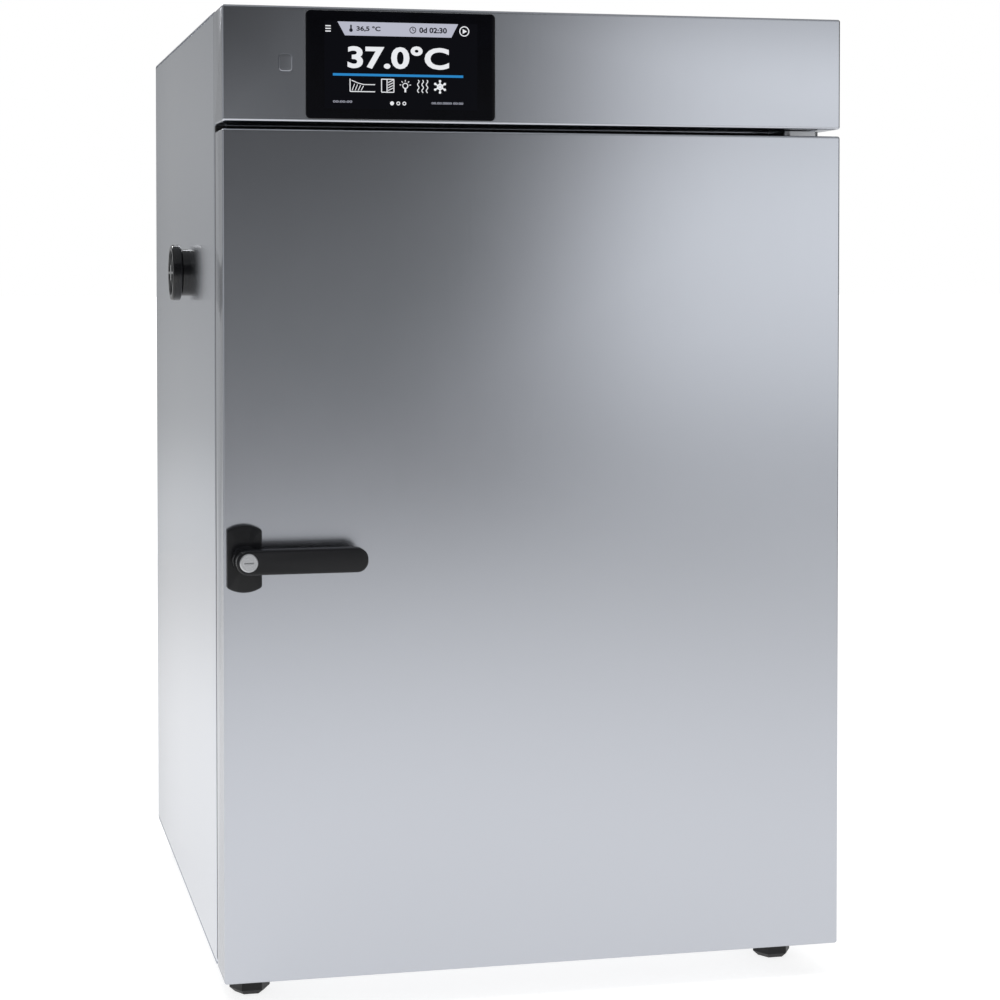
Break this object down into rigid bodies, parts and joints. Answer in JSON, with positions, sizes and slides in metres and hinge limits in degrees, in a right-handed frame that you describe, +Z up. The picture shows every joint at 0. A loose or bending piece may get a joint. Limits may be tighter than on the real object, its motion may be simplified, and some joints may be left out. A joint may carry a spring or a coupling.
{
  "type": "laboratory oven",
  "caption": "Upright stainless steel laboratory drying oven with a side-hinged door, turning lever latch, touch display fascia, side access port, wire shelves and levelling feet.",
  "frame": {"origin": "on the floor under the middle of the whole object, with handle, port cap and rear spacers included", "axes": "+Z up, +X to the right seen from the front, -Y towards the door"},
  "size_m": [0.6596, 0.7998, 0.999],
  "materials": {
    "steel": "satin",
    "lock_steel": "polished",
    "bush_metal": "satin",
    "mineral_wool": "matte",
    "rubber": "matte",
    "black_plastic": "matte",
    "display_glass": "gloss",
    "aluminium": "satin",
    "motor_paint": "satin",
    "circuit_board": "satin"
  },
  "bodies": {
    "cabinet": {"side_panel_left": "steel", "side_panel_right": "steel", "top_cover": "steel", "base_pan": "steel", "rear_panel": "steel", "front_frame": "steel", "chamber_liner": "steel", "bulkhead": "steel", "electronics_tray": "steel", "hinge_bracket_upper": "steel", "hinge_bracket_lower": "steel", "hinge_pins": "steel", "latch_keeper": "steel", "control_fascia": "steel", "port_sleeve": "steel", "foot_nuts": "steel", "shelf_uprights": "steel", "shelf_runners": "steel", "air_baffle": "steel", "motor_mount": "steel", "ring_heater": "steel", "temperature_probes": "steel", "vent_pipe": "steel", "panel_screws": "steel", "insulation_boards": "mineral_wool", "wall_spacers": "rubber", "button_switch": "black_plastic", "power_inlet": "black_plastic", "data_port": "black_plastic", "damper_actuator": "black_plastic", "display_glass": "display_glass", "display_module": "aluminium", "power_supply": "aluminium", "solid_state_relay": "aluminium", "fan_motor": "motor_paint", "control_board": "circuit_board"},
    "door": {"door_skin": "steel", "door_inner_panel": "steel", "hinge_blocks": "steel", "hinge_bushes": "bush_metal", "latch_case": "steel", "door_insulation": "mineral_wool", "door_gasket": "rubber", "handle_plate": "black_plastic"},
    "handle": {"handle_lever": "black_plastic", "latch_spindle": "steel"},
    "lock": {"lock_barrel": "lock_steel"},
    "button": {"power_button": "steel"},
    "cap": {"port_cap": "black_plastic"},
    "fan": {"fan_impeller": "steel", "fan_shaft": "steel"},
    "lower_shelf": {"shelf_lower": "steel"},
    "upper_shelf": {"shelf_upper": "steel"},
    "damper": {"vent_damper": "steel"},
    "fuse_bay": {"fuse_drawer": "black_plastic"},
    "front_left_foot": {"foot_front_left": "black_plastic"},
    "front_right_foot": {"foot_front_right": "black_plastic"},
    "rear_left_foot": {"foot_rear_left": "black_plastic"},
    "rear_right_foot": {"foot_rear_right": "black_plastic"}
  },
  "joints": [
    {"name": "door_hinge", "type": "hinge", "parent": "cabinet", "child": "door", "pos_m": [0.30875, -0.3271, 0.037], "axis": [0, 0, 1], "range_deg": [0, 120]},
    {"name": "handle_turn", "type": "hinge", "parent": "door", "child": "handle", "pos_m": [-0.29055, -0.3571, 0.45775], "axis": [0, 1, 0], "range_deg": [0, 90]},
    {"name": "lock_turn", "type": "hinge", "parent": "handle", "child": "lock", "pos_m": [-0.29055, -0.3571, 0.45775], "axis": [0, 1, 0], "range_deg": [0, 90]},
    {"name": "button_press", "type": "slide", "parent": "cabinet", "child": "button", "axis": [0, 1, 0], "range_m": [0, 0.0015], "stiffness_N_per_m": 600},
    {"name": "cap_pull", "type": "slide", "parent": "cabinet", "child": "cap", "axis": [-1, 0, 0], "range_m": [0, 0.08]},
    {"name": "fan_spin", "type": "hinge", "parent": "cabinet", "child": "fan", "pos_m": [0.00975, 0.2179, 0.457], "axis": [0, 1, 0], "continuous": true},
    {"name": "lower_shelf_slide", "type": "slide", "parent": "cabinet", "child": "lower_shelf", "axis": [0, -1, 0], "range_m": [0, 0.022]},
    {"name": "upper_shelf_slide", "type": "slide", "parent": "cabinet", "child": "upper_shelf", "axis": [0, -1, 0], "range_m": [0, 0.022]},
    {"name": "damper_turn", "type": "hinge", "parent": "cabinet", "child": "damper", "pos_m": [-0.12025, 0.3316, 0.762], "axis": [0, 0, 1], "range_deg": [0, 90]},
    {"name": "fuse_drawer_slide", "type": "slide", "parent": "cabinet", "child": "fuse_bay", "axis": [0, 1, 0], "range_m": [0, 0.015]},
    {"name": "front_left_foot_turn", "type": "hinge", "parent": "cabinet", "child": "front_left_foot", "pos_m": [-0.27325, -0.2571, 0], "axis": [0, 0, 1], "continuous": true},
    {"name": "front_right_foot_turn", "type": "hinge", "parent": "cabinet", "child": "front_right_foot", "pos_m": [0.29275, -0.2571, 0], "axis": [0, 0, 1], "continuous": true},
    {"name": "rear_left_foot_turn", "type": "hinge", "parent": "cabinet", "child": "rear_left_foot", "pos_m": [-0.27325, 0.3149, 0], "axis": [0, 0, 1], "continuous": true},
    {"name": "rear_right_foot_turn", "type": "hinge", "parent": "cabinet", "child": "rear_right_foot", "pos_m": [0.29275, 0.3149, 0], "axis": [0, 0, 1], "continuous": true}
  ]
}
